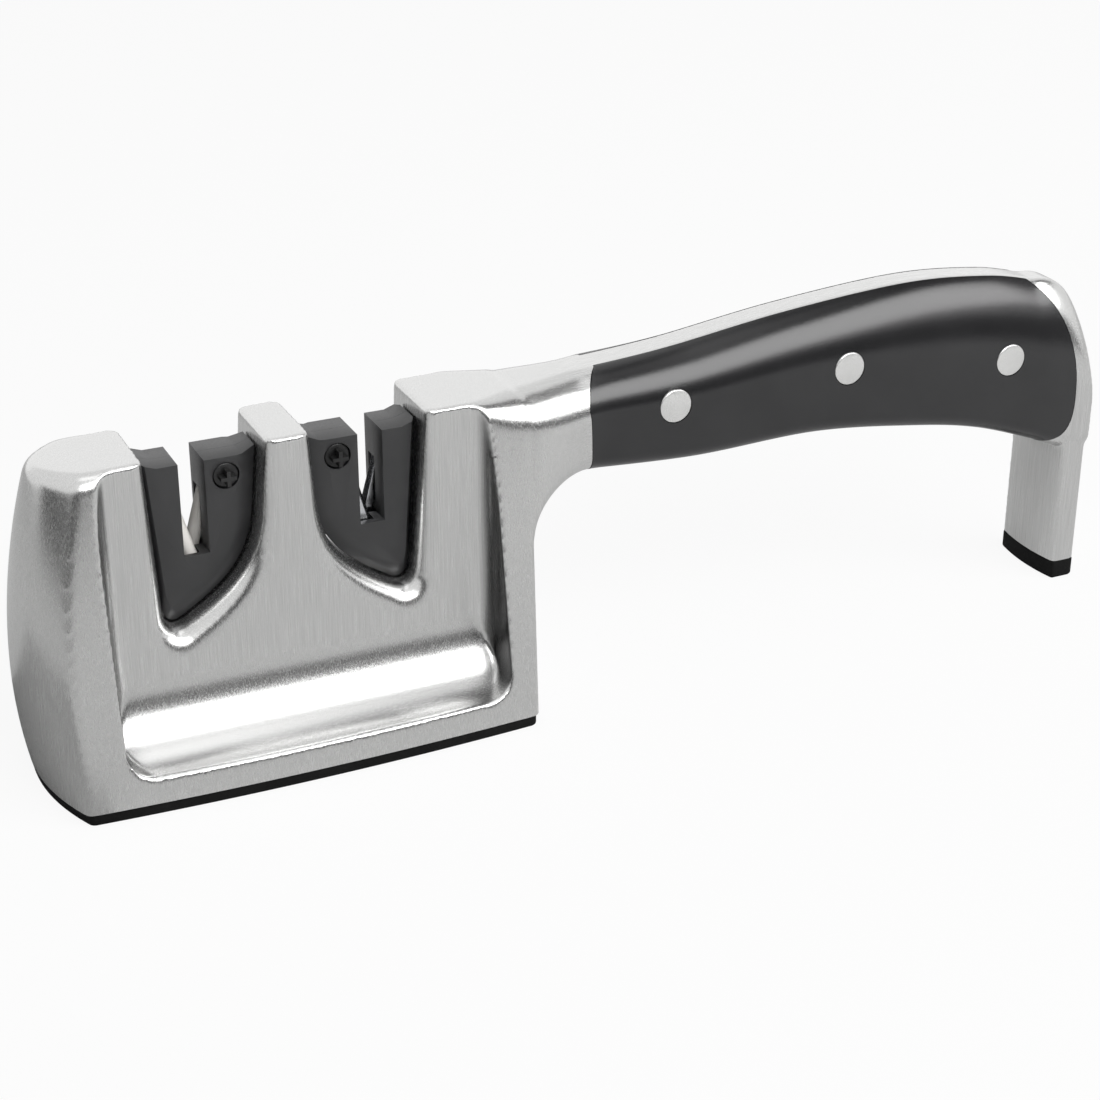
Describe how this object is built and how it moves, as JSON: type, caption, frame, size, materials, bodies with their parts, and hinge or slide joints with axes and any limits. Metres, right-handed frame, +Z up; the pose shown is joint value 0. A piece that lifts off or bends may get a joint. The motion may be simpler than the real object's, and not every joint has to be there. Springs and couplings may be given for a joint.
{
  "type": "knife sharpener",
  "caption": "Two-stage pull-through knife sharpener: cast steel body, riveted black grip, leg, crossed ceramic rods and carbide blades in black guide inserts",
  "frame": {"origin": "on the table, under the base pad, below the mid-point between the two slots", "axes": "+X along the sharpener from the free end of the head to the tail, +Y to the rear face, +Z up"},
  "size_m": [0.2202, 0.0436, 0.0689],
  "materials": {
    "brushed_steel": "satin brushed cast steel, fine upright brushing on the head",
    "plain_steel": "plain zinc-grey steel, hidden inside",
    "rivet_steel": "polished rivet ends ground flush",
    "grip_black": "satin black moulded grip",
    "insert_black": "fine-grained black moulding",
    "rubber": "matt black non-slip rubber",
    "ceramic": "white unglazed fine ceramic",
    "carbide": "ground tungsten carbide",
    "black_screw": "blackened cross-head screw"
  },
  "bodies": {
    "root": {"body_casting": "brushed_steel", "base_plate": "plain_steel", "base_screw_1": "plain_steel", "base_screw_2": "plain_steel", "base_screw_3": "plain_steel", "base_screw_4": "plain_steel", "base_pad": "rubber", "foot_pad": "rubber", "front_scale": "grip_black", "rear_scale": "grip_black", "rivet_front": "rivet_steel", "rivet_middle": "rivet_steel", "rivet_tail": "rivet_steel", "fine_front_cover": "insert_black", "fine_rear_cover": "insert_black", "fine_front_rod": "ceramic", "fine_rear_rod": "ceramic", "fine_clamp_screw": "black_screw", "fine_hold_screw": "plain_steel", "coarse_front_cover": "insert_black", "coarse_rear_cover": "insert_black", "coarse_front_blade": "carbide", "coarse_rear_blade": "carbide", "coarse_clamp_screw": "black_screw", "coarse_hold_screw": "plain_steel"}
  },
  "joints": []
}
